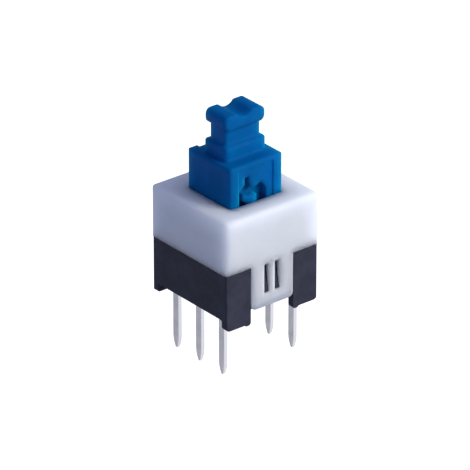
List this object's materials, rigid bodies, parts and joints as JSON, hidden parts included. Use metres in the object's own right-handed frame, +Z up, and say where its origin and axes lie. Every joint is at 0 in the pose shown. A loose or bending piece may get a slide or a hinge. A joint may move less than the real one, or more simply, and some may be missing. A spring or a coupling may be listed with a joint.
{
  "type": "momentary push switch",
  "caption": "Square board-mounted momentary push switch: white cover snapped to a black base, blue sprung plunger with a two-lobed head, flat solder pins in two rows.",
  "frame": {"origin": "centre of the square housing on the board's face, level with the undersides of the feet", "axes": "+Z up out of the board along the plunger, X across the two rows of pins, Y along a row; -Y is the face with the plunger's cam track"},
  "size_m": [0.0082, 0.0082, 0.0184],
  "materials": {
    "base_plastic": "black moulded nylon, lightly eroded",
    "cover_plastic": "white moulded acetal, satin",
    "plunger_plastic": "blue moulded acetal, satin",
    "spring_steel": "drawn wire",
    "clip_bronze": "rolled phosphor bronze",
    "tinned_brass": "bright tin plate over brass"
  },
  "bodies": {
    "housing": {"base": "base_plastic", "cover": "cover_plastic", "return_spring": "spring_steel", "terminal_common_left": "tinned_brass", "terminal_closed_left": "tinned_brass", "terminal_open_left": "tinned_brass", "terminal_common_right": "tinned_brass", "terminal_closed_right": "tinned_brass", "terminal_open_right": "tinned_brass"},
    "plunger": {"plunger": "plunger_plastic", "contact_clip_left": "clip_bronze", "contact_clip_right": "clip_bronze"}
  },
  "joints": [
    {"name": "plunger_press", "type": "slide", "parent": "housing", "child": "plunger", "axis": [0, 0, -1], "range_m": [0, 0.0025], "stiffness_N_per_m": 350, "springref_m": -0.0026, "deforming": ["return_spring"]}
  ]
}
